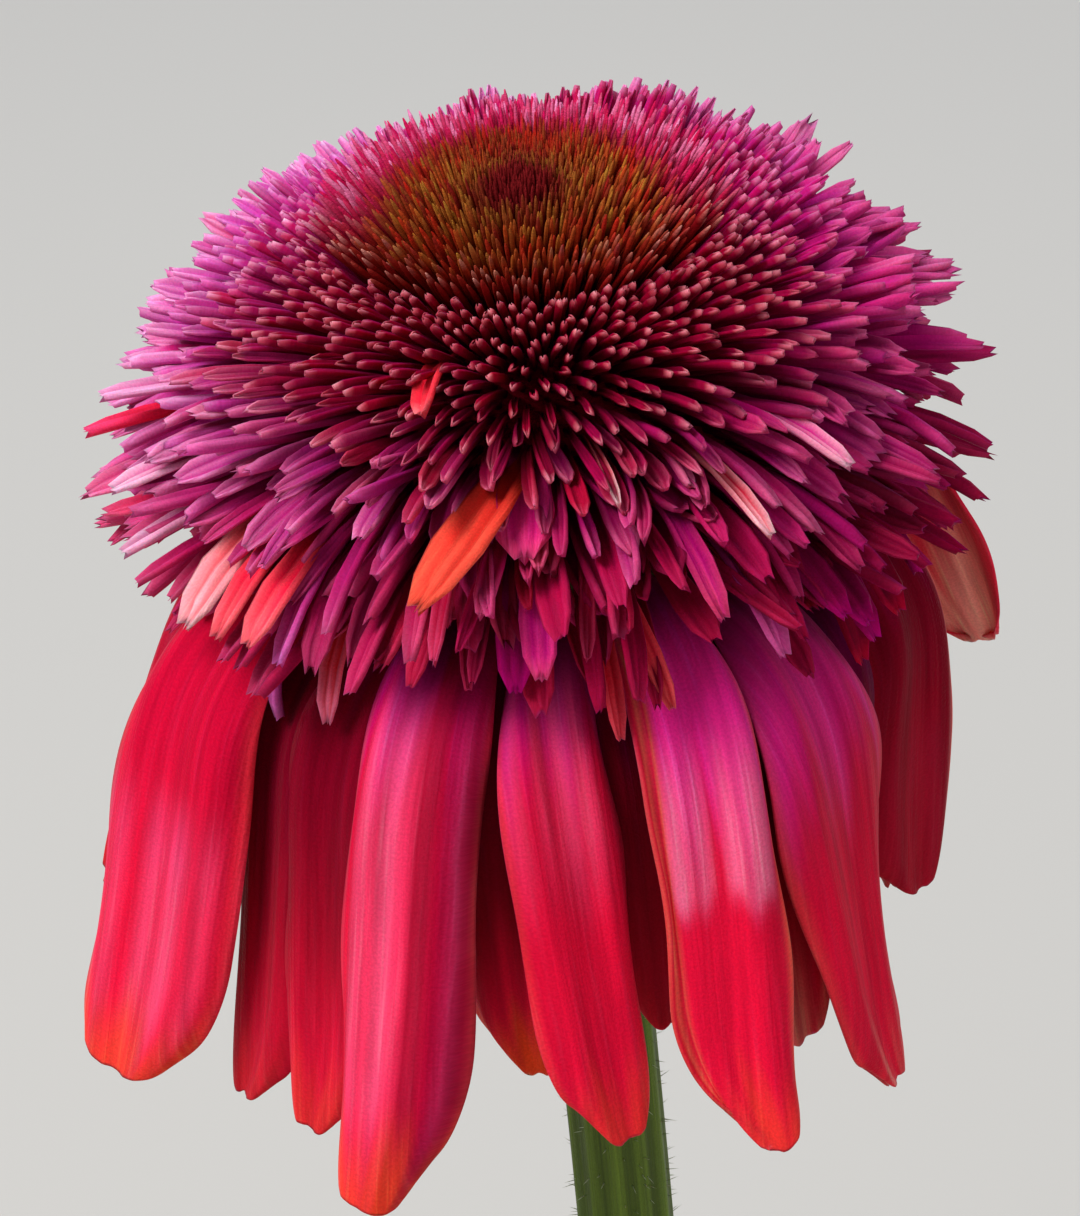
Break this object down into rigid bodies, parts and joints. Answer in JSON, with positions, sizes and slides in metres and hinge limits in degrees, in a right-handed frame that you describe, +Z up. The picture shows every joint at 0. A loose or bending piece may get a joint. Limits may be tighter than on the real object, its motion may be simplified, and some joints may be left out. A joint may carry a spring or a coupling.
{
  "type": "potted eccentric coneflower",
  "caption": "Double coneflower in a clay pot: a pompon of strap florets round a bristly cone, over drooping red ray petals, on a leafy stem rising from a rosette of toothed leaves.",
  "frame": {"origin": "middle of the pot's flat underside", "axes": "+Z up along the pot's axis, -Y towards the side the flower head shows in the picture, +X to that view's right"},
  "size_m": [0.2407, 0.226, 0.3742],
  "materials": {
    "clay": "matte unglazed terracotta",
    "potting_soil": "matte, damp bark and peat crumbs",
    "stem_green": "satin, ribbed and finely hairy",
    "leaf_green": "satin, veined and slightly rough",
    "floret_magenta": "satin, ribbed, with pale pink tips",
    "cone_ember": "matte, fine bristles",
    "petal_red": "satin with a velvety sheen, streaked along its length"
  },
  "bodies": {
    "root": {"pot": "clay", "soil": "potting_soil", "stem": "stem_green", "crown_leaf_1": "leaf_green", "crown_leaf_2": "leaf_green", "crown_leaf_3": "leaf_green", "crown_leaf_4": "leaf_green", "crown_leaf_5": "leaf_green", "crown_leaf_6": "leaf_green", "crown_leaf_7": "leaf_green", "stem_leaf_1": "leaf_green", "stem_leaf_2": "leaf_green", "stem_leaf_3": "leaf_green", "stem_leaf_4": "leaf_green", "receptacle": "leaf_green", "pompon": "floret_magenta", "cone": "cone_ember", "ray_petal_1": "petal_red", "ray_petal_2": "petal_red", "ray_petal_3": "petal_red", "ray_petal_4": "petal_red", "ray_petal_5": "petal_red", "ray_petal_6": "petal_red", "ray_petal_7": "petal_red", "ray_petal_8": "petal_red", "ray_petal_9": "petal_red", "ray_petal_10": "petal_red", "ray_petal_11": "petal_red", "ray_petal_12": "petal_red", "ray_petal_13": "petal_red", "ray_petal_14": "petal_red", "ray_petal_15": "petal_red", "ray_petal_16": "petal_red", "ray_petal_17": "petal_red", "ray_petal_18": "petal_red", "ray_petal_19": "petal_red", "ray_petal_20": "petal_red", "ray_petal_21": "petal_red", "ray_petal_22": "petal_red"}
  },
  "joints": []
}
